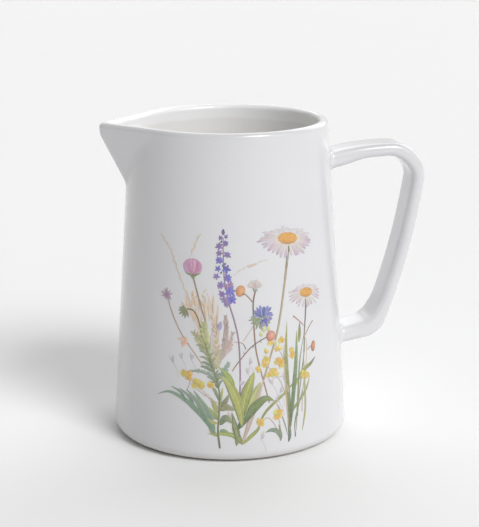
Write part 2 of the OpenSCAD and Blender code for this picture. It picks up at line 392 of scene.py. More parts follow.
def on_wall(p, offset=0.0):
    """The point of the wall's surface nearest to p."""
    out = math.hypot(p.x, p.y)
    depth = (out - wall_r(p.z)) * math.cos(TAPER) - offset
    n = wall_normal(p)
    return p - depth * n


def wall_normal(p):
    out = math.hypot(p.x, p.y)
    return Vector((p.x / out * math.cos(TAPER), p.y / out * math.cos(TAPER), math.sin(TAPER)))


def build_slip_fillet(name, pose, end, under, material):
    """The ring of slip in the corner all round, where an end of the strap (1 or -1) meets the wall."""
    x, z, h = pose
    c, s = unit(h)
    way = Vector((c, 0, s))
    over = Vector((-way.z, 0, way.x))
    plain = [(end * p, q) for p, q in strap_ring(10, 10)][::end]
    ring = [(end * p, q) for p, q in strap_ring(10, 10, under)][::end]
    steps = 9
    points, normals, loop = [], [], steps + 4
    for q, n in zip(ring, ring_normals(plain)):
        side = (over * n[0] + Vector((0, 1, 0)) * n[1]).normalized()
        base = Vector((x, 0, z)) + over * q[0] + Vector((0, 1, 0)) * q[1]
        corner = base + way * wall_hit(base, way)
        wn = wall_normal(corner)
        out = (side - wn * side.dot(wn)).normalized()
        a = corner + way * SLIP * 1.1 + side * 0.02
        c = on_wall(corner + out * SLIP, 0.02)
        for k in range(steps + 1):
            t = k / steps
            points.append(a * (1 - t) ** 2 + (corner + side * 0.02) * 2 * t * (1 - t) + c * t ** 2)
            run = ((corner - a) * (1 - t) + (c - corner) * t).normalized()
            across = way.cross(side)
            face = run.cross(across)
            normals.append(tuple(face if face.dot(side + wn) > 0 else -face))
        for p in (c - wn * 0.6, corner - wn * 0.8 - side * 0.8, a - side * 0.6):
            points.append(p)
            normals.append((0, 0, 1))
    count = len(ring)
    shown, hidden = [], []
    for i in range(count):
        for k in range(loop):
            j, m = (i + 1) % count, (k + 1) % loop
            face = (i * loop + k, j * loop + k, j * loop + m, i * loop + m)
            (shown if k < steps else hidden).append(face)
    return closed_piece(name, points, shown, normals, hidden, material)


def ring_normals(ring):
    """Outward direction at each point of a strap outline."""
    t, w, r = STRAP_T / 2 - STRAP_ROUND, STRAP_W / 2 - STRAP_ROUND, 1e-4
    out = []
    for a, b in ring:
        da = a - min(max(a, -t), t)
        db = b - min(max(b, -w), w)
        size = math.hypot(da, db) + r
        out.append((da / size, db / size))
    return out


# ---- materials ----

# the glaze, and where it has pooled thicker
GLAZE_WHITE, POOLED_WHITE = (0.74, 0.74, 0.755, 1), (0.725, 0.725, 0.742, 1)
# the lining glaze, painted lighter and warmer than the outside glaze as painted bounce light inside the jug;
# and the whiter band, a painted lit band above where the front rim's shadow falls on the inner wall, reaching
# up from the height given below
LIT_LINING_WHITE, LIT_BAND_WHITE = (0.905, 0.895, 0.88, 1), (0.985, 0.985, 0.99, 1)
# where the painted lit band begins, and how soft its lower edge is
LIT_BAND_Z, LIT_BAND_FADE = 167.0, 0.8
# how coarse each enamel's mottling is (per metre), how strong, and how rough its surface
ENAMELS = {"petal_enamel": (1400, 0.2, 0.2), "disc_enamel": (3200, 0.12, 0.28),
        "violet_enamel": (1900, 0.18, 0.22), "pink_enamel": (1300, 0.2, 0.22),
        "blue_enamel": (1700, 0.18, 0.22), "berry_enamel": (1500, 0.15, 0.2),
        "yellow_enamel": (1600, 0.14, 0.24), "stem_enamel": (1100, 0.16, 0.24),
        "grass_enamel": (700, 0.18, 0.22), "leaf_enamel": (600, 0.18, 0.22),
        "foliage_enamel": (900, 0.2, 0.24), "wisp_enamel": (1200, 0.28, 0.24)}


class Nodes:
    """A material's node tree, with short calls for the nodes it needs."""

    def __init__(self, name):
        self.mat = bpy.data.materials.new(name)
        self.mat.use_nodes = True
        self.tree = self.mat.node_tree
        self.bsdf = self.tree.nodes["Principled BSDF"]

    def add(self, kind, **inputs):
        node = self.tree.nodes.new("ShaderNode" + kind)
        for key, value in inputs.items():
            self.feed(value, node.inputs[key.replace("_", " ")])
        return node

    def feed(self, value, socket):
        if isinstance(value, bpy.types.NodeSocket):
            self.tree.links.new(value, socket)
        else:
            socket.default_value = value

    def noise(self, scale, detail=3.0, rough=0.5):
        place = self.add("TexCoord").outputs["Object"]
        node = self.add("TexNoise", Vector=place, Scale=scale, Detail=detail, Roughness=rough)
        return node.outputs["Fac"]

    def mottle(self, scale, low, high):
        """Noise spread between two values."""
        return self.span(self.noise(scale), 0.3, 0.7, low, high)

    def span(self, value, low, high, to_low, to_high):
        node = self.add("MapRange", Value=value, From_Min=low, From_Max=high, To_Min=to_low, To_Max=to_high)
        return node.outputs[0]

    def blend(self, factor, a, b):
        node = self.tree.nodes.new("ShaderNodeMix")
        node.data_type = "RGBA"
        for value, key in ((factor, 0), (a, 6), (b, 7)):
            self.feed(value, node.inputs[key])
        return node.outputs[2]

    def maths(self, operation, a, b):
        node = self.tree.nodes.new("ShaderNodeMath")
        node.operation = operation
        self.feed(a, node.inputs[0])
        self.feed(b, node.inputs[1])
        return node.outputs[0]

    def bump(self, height, strength, distance, below=None):
        node = self.add("Bump", Height=height, Strength=strength, Distance=distance)
        if below is not None:
            self.feed(below, node.inputs["Normal"])
        return node.outputs[0]

    def finish(self, color, roughness, normal):
        self.feed(color, self.bsdf.inputs["Base Color"])
        self.feed(roughness, self.bsdf.inputs["Roughness"])
        self.feed(normal, self.bsdf.inputs["Normal"])
        return self.mat


def glaze_surface(n):
    """Roughness and normal of a fired glaze: a faint orange peel on a slow swell, under a clear coat."""
    peel = n.noise(420, 2.0)
    swell = n.noise(38, 2.0)
    normal = n.bump(swell, 0.25, 0.0006)
    normal = n.bump(peel, 0.12, 0.00008, normal)
    n.bsdf.inputs["Coat Weight"].default_value = 0.25
    n.bsdf.inputs["Coat Roughness"].default_value = 0.06
    return n.mottle(90, 0.13, 0.2), normal


def glaze_material():
    n = Nodes("white_glaze")
    rough, normal = glaze_surface(n)
    glaze_and_lit_lining = n.blend(n.mottle(26, 0.0, 1.0), GLAZE_WHITE, POOLED_WHITE)
    lining = n.add("Attribute")
    lining.attribute_name = "lining"
    high = n.add("SeparateXYZ", Vector=n.add("TexCoord").outputs["Object"]).outputs["Z"]
    # painted lit band high on the inner wall, its lower edge made wavy by a mottle
    wavy = n.maths("ADD", high, n.mottle(45, -0.0006, 0.0006))
    lit_band = n.span(wavy, (LIT_BAND_Z - LIT_BAND_FADE) * MM, (LIT_BAND_Z + LIT_BAND_FADE) * MM, 0.0, 1.0)
    # the inside takes the lining colour, painted lighter and warmer as bounce light, with the painted lit
    # band at its top
    glaze_and_lit_lining = n.blend(lining.outputs["Fac"], glaze_and_lit_lining, n.blend(lit_band, LIT_LINING_WHITE, LIT_BAND_WHITE))
    low_edge = n.maths("MULTIPLY", n.span(high, 0.0, 0.006, 1.0, 0.0), n.mottle(150, 0.5, 1.0))
    color = n.blend(low_edge, glaze_and_lit_lining, (0.66, 0.63, 0.59, 1))
    specks = n.span(n.noise(900, 1.0, 0.4), 0.74, 0.78, 0.0, 0.35)
    color = n.blend(specks, color, (0.62, 0.58, 0.54, 1))
    return n.finish(color, rough, normal)


def bisque_material():
    """Unglazed clay: grainy, matt and a little stained."""
    n = Nodes("bisque")
    grain = n.noise(2600, 4.0, 0.7)
    stain = n.noise(120, 4.0, 0.6)
    color = n.blend(n.span(stain, 0.3, 0.7, 0.0, 1.0), (0.66, 0.62, 0.56, 1), (0.5, 0.45, 0.39, 1))
    color = n.blend(n.span(grain, 0.35, 0.7, 0.0, 0.5), color, (0.76, 0.73, 0.68, 1))
    n.bsdf.inputs["Specular IOR Level"].default_value = 0.25
    return n.finish(color, n.span(grain, 0.3, 0.7, 0.75, 0.95), n.bump(grain, 0.6, 0.0002))


def enamel_material(name, grain, mottle, gloss):
    """Painted enamel: each point's own tint thins out over the white glaze in watercolour mottles."""
    n = Nodes(name)
    tint = n.add("Attribute")
    tint.attribute_name = "tint"
    blot = n.noise(grain, 4.0, 0.6)
    pool = n.noise(grain * 0.3, 3.0, 0.5)
    thin = n.span(blot, 0.3, 0.7, 1.0 - mottle, 1.0)
    density = n.maths("MULTIPLY", tint.outputs["Alpha"], thin)
    deep = n.blend(n.span(pool, 0.35, 0.7, 0.0, 0.3), tint.outputs["Color"], (0.12, 0.12, 0.14, 1))
    deep = n.blend(0.35, tint.outputs["Color"], deep)
    color = n.blend(density, GLAZE_WHITE, deep)
    _, swell = glaze_surface(n)
    rough = n.span(blot, 0.3, 0.7, gloss - 0.05, gloss + 0.05)
    return n.finish(color, rough, n.bump(blot, 0.1, 0.00004, swell))


def floor_material():
    """Plain pale studio floor."""
    n = Nodes("pale_floor")
    n.bsdf.inputs["Specular IOR Level"].default_value = 0.15
    tone = n.blend(n.noise(3, 2.0), (0.93, 0.93, 0.93, 1), (0.95, 0.95, 0.95, 1))
    return n.finish(tone, n.mottle(40, 0.65, 0.75), n.bump(n.noise(900), 0.05, 0.0001))


# ---- the fired print: thin patches of enamel on the wall, placed by (arc, height) in millimetres ----
# arc runs along the wall from the side between spout and handle, towards the handle

LILAC, ROSE, MAUVE = (222, 206, 222), (233, 214, 222), (168, 140, 168)
PLUM, PINK, DEEP_PINK = (126, 92, 134), (222, 160, 200), (196, 112, 166)
GOLD, LEMON, YELLOW, OCHRE = (222, 172, 70), (236, 218, 126), (222, 190, 76), (200, 158, 76)
VIOLET, BLUE, INDIGO = (140, 118, 196), (96, 96, 186), (66, 60, 128)
SKY, STEEL = (128, 150, 208), (150, 160, 190)
LIME, LEAF, MOSS = (182, 184, 84), (134, 144, 66), (98, 108, 42)
PINE, SAGE, SPRUCE = (84, 106, 56), (142, 162, 138), (108, 138, 114)
STRAW, SAND, BLUSH = (226, 208, 178), (232, 206, 168), (222, 196, 186)
DISC = (214, 160, 62)
TAN, BROWN, UMBER = (188, 150, 128), (132, 100, 84), (84, 62, 54)
PEACH, CREAM = (236, 196, 156), (238, 226, 214)
ASH, SLATE = (190, 182, 190), (128, 124, 134)
# how much of the glaze an enamel hides, at a stroke's root and at its tip
DENSE = (0.95, 0.95)


class Enamel:
    """The patches of one motif: points, faces, and a tint (colour and density) for each point."""

    def __init__(self, lift, seed):
        self.points, self.faces, self.tints = [], [], []
        self.lift = lift
        rand = random.Random(seed)
        self.random, self.choice, self.below = rand.random, rand.choice, rand.randrange

    def about(self, value, spread):
        return value * (1 + spread * (2 * self.random() - 1))

    def turn(self):
        return 360 * self.random()

    def patch(self, rows, tints):
        """A closed patch: rows go up, the points of a row go right."""
        n, m = len(rows), len(rows[0])
        base = len(self.points)
        lift = self.lift + LAYER * self.below(8)
        for depth in (lift, PRINT_SUNK):
            for row, shades in zip(rows, tints):
                for (arc, z), shade in zip(row, shades):
                    self.points.append(wall_point(arc, z, depth))
                    self.tints.append(shade)
        back = n * m
        for i in range(n - 1):
            for j in range(m - 1):
                k = base + i * m + j
                self.faces.append((k, k + 1, k + m + 1, k + m))
                self.faces.append((k + back, k + m + back, k + m + 1 + back, k + 1 + back))
        rim = list(range(m)) + [i * m + m - 1 for i in range(1, n)]
        rim += [(n - 1) * m + j for j in range(m - 2, -1, -1)] + [i * m for i in range(n - 2, 0, -1)]
        for a, b in zip(rim, rim[1:] + rim[:1]):
            self.faces.append((base + a, base + a + back, base + b + back, base + b))

    def strip(self, route, width, paint, along=8, across=4):
        """A stroke along a smooth route, with its width and paint as functions of the way along it."""
        line = smooth_route(route, along)
        rows, tints = [], []
        for i, (a, z) in enumerate(line):
            before, after = line[max(i - 1, 0)], line[min(i + 1, along)]
            da, dz = after[0] - before[0], after[1] - before[1]
            size = math.hypot(da, dz) or 1.0
            t = i / along
            half = max(width(t), 0.03) / 2
            sides = [2 * j / across - 1 for j in range(across + 1)]
            rows.append([(a + s * half * dz / size, z - s * half * da / size) for s in sides])
            tints.append([paint(t, s) for s in sides])
        self.patch(rows, tints)

    def leaf(self, route, width, root, tip, density=DENSE, belly=0.45, along=10, across=4, **looks):
        """A stroke that is pointed at both ends and widest at its belly."""
        power = math.log(0.5) / math.log(belly)
        paint = self.wash(root, tip, density, **looks)
        self.strip(route, lambda t: width * math.sin(math.pi * t ** power) ** 0.8, paint, along, across)

    def petal(self, route, width, root, tip, density=DENSE, along=8, across=6, **looks):
        """A stroke that widens from its root and ends round."""
        paint = self.wash(root, tip, density, **looks)
        self.strip(route, lambda t: width * (0.35 + 0.65 * t) * math.sqrt(max(1 - t ** 7, 0.0)), paint,
                along, across)

    def stem(self, route, start, end, root, tip, density=0.95):
        paint = self.wash(root, tip, (density, density), edge=0.18)
        self.strip(route, lambda t: start + (end - start) * t, paint, along=6 * len(route), across=3)

    def oval(self, centre, rx, ry, turn, paint, along=8, across=6):
        c, s = unit(turn)
        ends = [(centre[0] - rx * c, centre[1] - rx * s), (centre[0] + rx * c, centre[1] + rx * s)]
        self.strip(ends, lambda t: 2 * ry * math.sqrt(max(1 - (2 * t - 1) ** 2, 0.0)), paint, along, across)

    def dot(self, centre, rx, ry, tone, density=DENSE, turn=0, tip=None, **looks):
        """A small oval of one colour, or of one that runs into another."""
        self.oval(centre, rx, ry, turn, self.wash(tone, tip or tone, density, **looks), along=4, across=4)

    def wash(self, root, tip, density=DENSE, rib=0.0, edge=0.0, streak=0.0, shift=0.05):
        """A paint that runs from one colour to another along a stroke, with a rib, dark sides or streaks."""
        jitter = [self.about(1.0, shift) for _ in range(3)]
        phase = self.random() * 6

        def paint(t, s):
            shade = 1 - rib * (1 - abs(s)) ** 2 - edge * s * s
            shade -= streak * (0.5 + 0.5 * math.cos(9 * s + phase))
            tone = [(a + (b - a) * t) / 255 * j * shade for a, b, j in zip(root, tip, jitter)]
            return self.vivid(tone) + [density[0] + (density[1] - density[0]) * t]
        return paint

    def ball(self, glow, tone, dark, density=0.95):
        """A paint for an oval that makes it look round: light above its middle, dark at its outline."""
        def paint(t, s):
            x = 2 * t - 1
            y = s * math.sqrt(max(1 - x * x, 0.0))
            out = math.hypot(x - 0.2, y - 0.25)
            if out < 0.7:
                a, b, f = glow, tone, smoothstep(0.1, 0.7, out)
            else:
                a, b, f = tone, dark, smoothstep(0.7, 1.25, out)
            return self.vivid([(u + (v - u) * f) / 255 for u, v in zip(a, b)]) + [density]
        return paint

    def vivid(self, tone):
        """A named colour as it comes out of the firing."""
        grey = sum(tone) / 3
        return [min(max(DEEP * (grey + VIVID * (v - grey)), 0.0), 1.0) for v in tone]

    def build(self, name, material):
        obj = new_object(name, self.points, self.faces, material)
        layer = obj.data.color_attributes.new("tint", "FLOAT_COLOR", "POINT")
        flat = [v for r, g, b, d in self.tints for v in (linear(r), linear(g), linear(b), d)]
        layer.data.foreach_set("color", flat)
        return obj


def linear(v):
    return v / 12.92 if v < 0.04045 else ((v + 0.055) / 1.055) ** 2.4


def wall_point(arc, z, depth):
    turn = (arc + PRINT_ARC) / wall_r(z)
    r = wall_r(z, depth)
    return r * math.sin(turn), -r * math.cos(turn), z + PRINT_RISE


def smooth_route(route, count):
    """Points at even steps of a Catmull-Rom curve through the route."""
    p = [tuple(2 * a - b for a, b in zip(route[0], route[1]))] + list(route)
    p.append(tuple(2 * a - b for a, b in zip(route[-1], route[-2])))
    spans = len(route) - 1
    out = []
    for i in range(count + 1):
        u = min(i * spans / count, spans - 1e-9)
        k, f = int(u), u - int(u)
        out.append(tuple(0.5 * (2 * b + (c - a) * f + (2 * a - 5 * b + 4 * c - d) * f * f
                                + (3 * b - a - 3 * c + d) * f ** 3)
                         for a, b, c, d in zip(p[k], p[k + 1], p[k + 2], p[k + 3])))
    return out


def toward(start, degrees, length):
    c, s = unit(degrees)
    return start[0] + length * c, start[1] + length * s


# ---- daisies ----

def tilted(centre, x, y):
    """A flower's own (x, y) on the wall: both daisies lean a little clockwise."""
    c, s = unit(DAISY_LEAN)
    return centre[0] + x * c - y * s, centre[1] + x * s + y * c


def daisy_petals(e, centre, inner, reach, count, sag):
    """Petals all round a disc that is seen from a low side: long at the sides, short at the top."""
    for k in range(count):
        c, s = unit(360 * (k + 0.5 * e.random()) / count)
        far = e.about(1, 0.11) - (0.14 if s > 0.5 else 0.0)
        root = tilted(centre, inner[0] * c, inner[1] * s)
        tip = tilted(centre, reach[0] * c * far, reach[1] * s * far - sag)
        mid = ((root[0] + tip[0]) / 2, (root[1] + tip[1]) / 2 + 0.06 * reach[0] * abs(c))
        width = e.about(0.122, 0.2) * reach[0] * (0.72 + 0.36 * abs(s))
        faint = 0.55 if s > 0.4 else 0.9
        tip_tone = e.choice((LILAC, LILAC, ROSE, (206, 182, 206)))
        e.petal([root, mid, tip], width, (240, 226, 206), tip_tone, (0.45 * faint, faint), edge=0.05,
                streak=0.07, shift=0.02)
        if e.random() < 0.5 and s < 0.5:
            near = (mid[0] * 0.5 + tip[0] * 0.5, mid[1] * 0.5 + tip[1] * 0.5)
            e.leaf([near, tip], width * 0.25, MAUVE, (186, 160, 190), (0.25, 0.55), along=5, across=2)


def daisy_disc(e, centre, rx, ry, grains):
    """A domed disc of small florets: yellow on top, amber below, brown along its lower edge."""
    e.oval(centre, rx, ry, DAISY_LEAN, e.wash(DISC, DISC, edge=0.1), along=12, across=8)
    for _ in range(grains):
        turn, out = math.tau * e.random(), math.sqrt(e.random()) * 0.93
        x, y = out * math.cos(turn), out * math.sin(turn)
        low = smoothstep(-0.1, -0.9, y + 0.3 * (e.random() - 0.5))
        bright = e.choice((GOLD, (220, 166, 64), (226, 178, 74)))
        dark = e.choice(((204, 150, 72), (198, 142, 70)))
        tone = [a + (b - a) * low for a, b in zip(bright, dark)]
        size = e.about(0.085, 0.25) * rx
        e.dot(tilted(centre, rx * x, ry * y), size, size * 0.7, tone, (0.9, 0.9), shift=0.03)


def paint_daisies():
    large, small, discs = Enamel(0.07, 11), Enamel(0.07, 12), Enamel(0.115, 13)
    daisy_petals(large, (21.2, 118.4), (5.2, 2.6), (16.4, 8.6), 31, 1.0)
    daisy_petals(large, (21.2, 118.4), (5.2, 2.6), (14.0, 7.8), 15, 1.0)
    daisy_petals(small, (33.0, 88.0), (3.6, 2.6), (11.4, 6.9), 25, 1.0)
    daisy_petals(small, (33.0, 88.0), (3.6, 2.6), (9.4, 5.8), 11, 0.8)
    daisy_disc(discs, (21.2, 118.9), 6.2, 3.05, 190)
    daisy_disc(discs, (33.2, 88.2), 4.7, 2.5, 130)
    return large, small, discs


# ---- larkspur, clover and cornflower ----

def floret(e, centre, size, tones, turn=0.0, count=6):
    """A small open flower of pointed petals round a dark eye."""
    for k in range(count):
        a = turn + 360 * k / count + e.about(0, 1)
        tip = toward(centre, a, e.about(size, 0.2))
        tone = e.choice(tones)
        e.leaf([toward(centre, a, -0.15 * size), tip], size * 0.52, tone, e.choice(tones),
               (0.95, 0.8), rib=0.1, shift=0.08, belly=0.55, along=6, across=4)
    e.dot(centre, size * 0.2, size * 0.18, INDIGO, (0.8, 0.8))


# the florets of the larkspur are drawn this much smaller than the sizes in its list
FLORET_SIZE = 0.86


def paint_larkspur():
    e = Enamel(0.08, 21)
    top, mid, low = (PLUM, VIOLET), (VIOLET, BLUE, BLUE), (MAUVE, VIOLET, (150, 120, 170))
    e.leaf([(-14, 122.6), (-13.9, 126)], 1.7, PLUM, INDIGO, along=6)
    spots = (((-15.3, 121.2), 1.6, top), ((-12.6, 121.8), 1.6, top), ((-16.2, 117.0), 2.5, top),
            ((-12.8, 118.4), 2.0, top), ((-16.2, 113.2), 2.2, (VIOLET, PLUM)), ((-12.0, 112.4), 2.4, top),
            ((-16.2, 109.6), 2.9, mid), ((-17.0, 105.0), 2.2, mid), ((-12.8, 104.9), 3.2, (BLUE, INDIGO)),
            ((-18.0, 101.0), 2.5, low), ((-12.0, 100.2), 2.8, mid), ((-15.8, 96.4), 2.7, low),
            ((-10.9, 96.6), 2.3, low), ((-15.2, 91.6), 2.7, (PLUM, VIOLET)), ((-11.0, 93.2), 3.3, mid),
            ((-10.2, 89.0), 3.2, (BLUE, BLUE, VIOLET)), ((-14.0, 88.6), 2.7, low), ((-13.0, 86.2), 1.9, low))
    for centre, size, tones in spots:
        size *= FLORET_SIZE
        floret(e, centre, size, tones, e.turn(), e.choice((5, 6, 7)))
        if e.random() < 0.4:
            floret(e, toward(centre, e.turn(), 0.5 * size), size * 0.5, tones, 20, 5)
    for centre in ((-14, 123.4), (-15, 119.2), (-13.3, 107.6), (-15.5, 103)):
        e.dot(centre, 0.7, 0.5, PLUM, turn=60, tip=INDIGO)
    e.leaf([(-17.3, 72.4), (-16, 77.2)], 2.4, VIOLET, MAUVE, (0.6, 0.75), belly=0.4)
    return e


def paint_clover():
    e = Enamel(0.08, 31)
    base = (-30.6, 101.6)
    for k in range(11):
        f = k / 5 - 1
        turn = 90 - 32 * f
        reach = 8.4 - 0.7 * f * f
        swell = toward(base, turn - 30 * f, reach * 0.55)
        tone, tip = (DEEP_PINK, PINK) if k % 2 else (PINK, (232, 186, 214))
        e.petal([base, swell, toward(base, turn, reach)], 2.8,
                tone, tip, (0.75, 0.85), edge=0.1, streak=0.06)
    for k in range(7):
        turn = 90 - 72 * (k / 3 - 1)
        e.leaf([(-30.4, 100.6), toward((-30.6, 101), turn, e.about(4.3, 0.2))], 1.1,
               MOSS, LEAF, (0.95, 0.7), along=5)
    e.leaf([(-30.4, 99.0), (-30.5, 102.6)], 2.6, MOSS, LEAF, (0.9, 0.6), along=5)
    for _ in range(36):
        turn, far = e.turn(), e.about(3.3, 0.3)
        e.leaf([(-46.2, 88.8), toward((-46.2, 89.0), turn, far)], 0.7,
               (150, 122, 146), (204, 184, 192), (0.9, 0.75), shift=0.1, along=5, across=2)
    for turn, far in ((215, 5.2), (190, 4.6), (168, 4.2), (240, 4.6), (262, 5.0), (140, 3.0), (290, 4.4)):
        e.leaf([(-34.6, 82.4), toward((-35.0, 82.4), turn, far)], 1.35,
               LEAF, MOSS, (0.9, 0.75), rib=0.1, along=6)
    return e


def paint_cornflower():
    e = Enamel(0.085, 41)
    for turn, far in ((195, 6.6), (215, 6.4), (232, 6.8), (250, 7.4), (275, 7.6), (292, 7.6), (180, 5.4)):
        e.leaf([(4.6, 78.4), toward((4.6, 79.0), turn, far)], 1.5, LEAF, MOSS, (0.85, 0.7), along=6)
    for ring, reach, width in ((17, 6.4, 1.8), (13, 5.0, 1.5), (9, 3.4, 1.3)):
        for k in range(ring):
            turn = 168 - 330 * k / ring + 20 * e.random()
            far = 1.0 + (reach - 1.0) * (0.78 + 0.3 * e.random())
            tones = (SKY, BLUE, VIOLET) if turn > 10 else (STEEL, SAGE, VIOLET)
            tone = e.choice(tones)
            start = toward((6.2, 78.4), turn, 1.0)
            draw = e.petal if e.random() < 0.6 else e.leaf
            draw([start, toward((6.2, 79.0), turn, far)], width,
                 e.choice((tone, BLUE, INDIGO)), tone, (0.95, 0.8), edge=0.14, streak=0.1)
            e.leaf([start, toward(start, turn, far * 0.6)], 0.5, INDIGO, BLUE, (0.8, 0.3),
                   along=4, across=2)
    for _ in range(12):
        turn = e.turn()
        e.leaf([(6.2, 79.0), toward((6.2, 79.2), turn, e.about(1.9, 0.3))], 0.6,
               (62, 72, 84), SPRUCE, (0.8, 0.5), along=4, across=2)
    return e


# ---- berries and buttercups ----

def berry(e, centre, rx, ry, turn, tone, glow, dark):
    e.oval(centre, rx, ry, turn, e.ball(glow, tone, dark), along=14, across=12)


def paint_berries():
    e = Enamel(0.1, 51)
    berry(e, (-5.6, 93.2), 3.1, 2.4, 72, (211, 162, 118), (226, 184, 142), (186, 134, 92))
    e.oval((-3.9, 91.6), 0.8, 0.6, 20, e.wash(UMBER, LEAF, (0.8, 0.8)), along=4)
    berry(e, (10.4, 68.2), 2.9, 2.5, 80, (209, 155, 134), (226, 188, 170), (178, 120, 100))
    berry(e, (38.0, 58.0), 3.0, 1.5, 84, (193, 138, 104), (216, 168, 134), (150, 100, 74))
    for k in range(13):
        turn = 158 - 136 * k / 12
        far = e.about(4.6, 0.12)
        e.petal([(2.3, 94.2), toward((2.3, 94.0), turn, far)], 1.25,
                (206, 178, 184), CREAM, (0.75, 0.6), edge=0.08, streak=0.1, along=6, across=4)
    e.leaf([(2.1, 92.2), (2.3, 95.2)], 2.6, PINE, SAGE, (0.9, 0.3), along=5)
    for tip in ((-38.6, 63.4), (-37.6, 61.8), (-40.4, 66.4), (-36, 67.6)):
        e.leaf([(-34.4, 66.2), tip], 1.7, PEACH, (238, 190, 150), (0.75, 0.55), along=6)
    return e


def buttercup(e, centre, size, tone):
    for k in range(5):
        turn = 72 * k + 60 * e.random()
        middle = toward(centre, turn, size * 0.5)
        e.oval(middle, size * 0.62, size * 0.46, turn, e.wash(tone, e.choice((YELLOW, LEMON)),
               (0.95, 0.85), edge=0.06, streak=0.05), along=7, across=5)
    for _ in range(5):
        spot = toward(centre, e.turn(), size * 0.28)
        e.oval(spot, size * 0.14, size * 0.12, 0, e.wash(OCHRE, OCHRE, (0.85, 0.85)), along=4, across=3)


def paint_buttercups():
    e = Enamel(0.09, 61)
    heads = ((-37, 48, 2.0), (-34, 47, 2.6), (-29.6, 43.4, 2.6), (-27.6, 42.6, 2.4), (-31.2, 42, 1.7),
            (-22, 43, 2.0), (16.4, 65.2, 1.9), (15, 61, 1.8), (13.4, 60.6, 1.3), (10, 64.4, 1.6),
            (7.8, 60, 1.3), (7.6, 55.4, 2.2), (6.8, 53.2, 1.9), (15.6, 53.6, 2.3), (13.8, 54, 1.9),
            (16.2, 51.4, 1.7), (3.2, 50.8, 1.7), (11.6, 48.4, 2.4), (9.2, 47.4, 1.9), (13.4, 47.2, 1.5),
            (23, 56, 2.0), (22.6, 58.8, 1.5), (30.8, 44.2, 2.3), (32.8, 43.2, 1.8), (14, 25.4, 2.8),
            (13, 24, 1.9), (4.2, 21.8, 2.3), (3.2, 22.8, 1.5))
    for a, z, size in heads:
        buttercup(e, (a, z), size, YELLOW if size > 1.8 else LEMON)
    for a, z in ((6.6, 72), (5, 69.6), (9, 72.2), (7.4, 60.6), (12.8, 64)):
        e.leaf([(a, z - 1.6), (a + e.about(0, 1), z + 1.8)], 2.0, LIME, LEMON, (0.7, 0.6), along=5)
    return e


# ---- stems, leaves and grass ----

def paint_flower_stems():
    e = Enamel(0.045, 71)
    e.stem([(20, 103), (18, 90), (15.5, 76), (13, 66), (10, 57), (6, 45)],
           1.2, 1.0, (194, 172, 150), (200, 178, 170))
    e.stem([(21.3, 114), (20.7, 108), (20, 103), (19.2, 97.6)], 1.35, 1.3, (106, 108, 66), (188, 168, 138))
    e.leaf([(20.6, 105), (21, 110), (21.3, 115)], 1.5, MOSS, (62, 76, 46), (0.5, 0.95), along=6)
    e.leaf([(21.6, 111), (21.2, 115.4)], 2.0, MOSS, (60, 74, 44), along=5)
    e.stem([(-13, 97), (-12, 88), (-9, 77), (-7, 66), (-6.5, 50), (-7, 36), (-8, 24)],
           0.8, 0.8, (160, 134, 152), (150, 140, 150))
    e.stem([(-14, 121), (-14.2, 112), (-14, 102), (-13.4, 94)], 0.4, 0.8, PLUM, (130, 100, 150), 0.8)
    e.stem([(-30.4, 100), (-28.4, 92), (-26.4, 84), (-24, 76), (-22.6, 68)], 0.8, 0.7, (150, 136, 112), TAN)
    e.stem([(-45.6, 87.4), (-44, 82), (-41, 75), (-37, 68), (-31, 60), (-26, 53)], 0.5, 0.7, TAN, BLUSH)
    e.stem([(-34.4, 82.8), (-31, 82.4), (-28.6, 79), (-27, 73), (-26.4, 66)], 0.7, 0.7, MOSS, (150, 130, 90))
    e.stem([(-3.6, 91.8), (-1.4, 89.6), (1, 86.6)], 0.45, 0.6, BROWN, TAN)
    e.stem([(2.2, 93), (1, 86), (1.2, 74), (2, 62), (4, 52), (7, 40), (9, 32)], 0.8, 0.7,
           (120, 104, 80), TAN)
    e.stem([(10, 68.4), (5, 66.4), (-0.4, 63), (-5, 58), (-9, 53), (-10.6, 50.4)], 0.5, 0.6, UMBER, TAN)
    e.stem([(-3.2, 62), (-5, 65.2), (-9.4, 66.2)], 0.5, 0.25, BROWN, TAN)
    e.stem([(1, 74.4), (-2, 70), (-4.6, 66.4)], 0.35, 0.3, TAN, TAN, 0.7)
    e.stem([(33, 84.6), (32.4, 76), (31.4, 66), (31, 56), (29, 44), (27, 32), (26, 22)], 0.9, 0.5,
           (112, 100, 84), (166, 160, 120))
    e.leaf([(33, 82), (33, 85.4)], 1.2, PINE, MOSS, along=4)
    e.stem([(24, 77), (28, 73.6), (31, 70.6)], 0.7, 0.4, TAN, TAN)
    e.stem([(38, 72), (35, 69), (31.6, 64.6)], 0.6, 0.4, TAN, TAN)
    e.stem([(31, 66), (33, 60), (32.4, 50), (31.4, 38)], 0.4, 0.4, STRAW, LIME, 0.7)
    e.stem([(38, 58), (35.6, 58.2), (33.4, 56.8)], 0.5, 0.4, BROWN, TAN)
    for k, (a, z) in enumerate(((9, 67), (5, 65), (1, 63.6), (-4, 59.4))):
        e.stem([(a, z), (a - 0.8, z + (1.6 if k % 2 else -1.4))], 0.4, 0.2, BROWN, TAN)
    for a, z in ((-35, 46), (-28, 41.6), (-22, 42)):
        e.stem([(a, z), (a + 4, z - 5), (-18.6, z - 13)], 0.3, 0.45, OCHRE, TAN, 0.6)
    for route in (
            [(15, 60), (17, 56), (18.6, 50)], [(12, 48), (16, 42), (19, 34)], [(7, 53), (10, 50), (12, 47)],
            [(14, 24), (15, 19), (15.6, 12)], [(4.4, 21), (7.5, 24), (11, 21), (14, 15)],
            [(11, 33), (14, 30), (16, 26)], [(31, 42), (29.6, 34), (29, 24)]):
        e.stem(route, 0.35, 0.45, (176, 160, 110), TAN, 0.75)
    return e


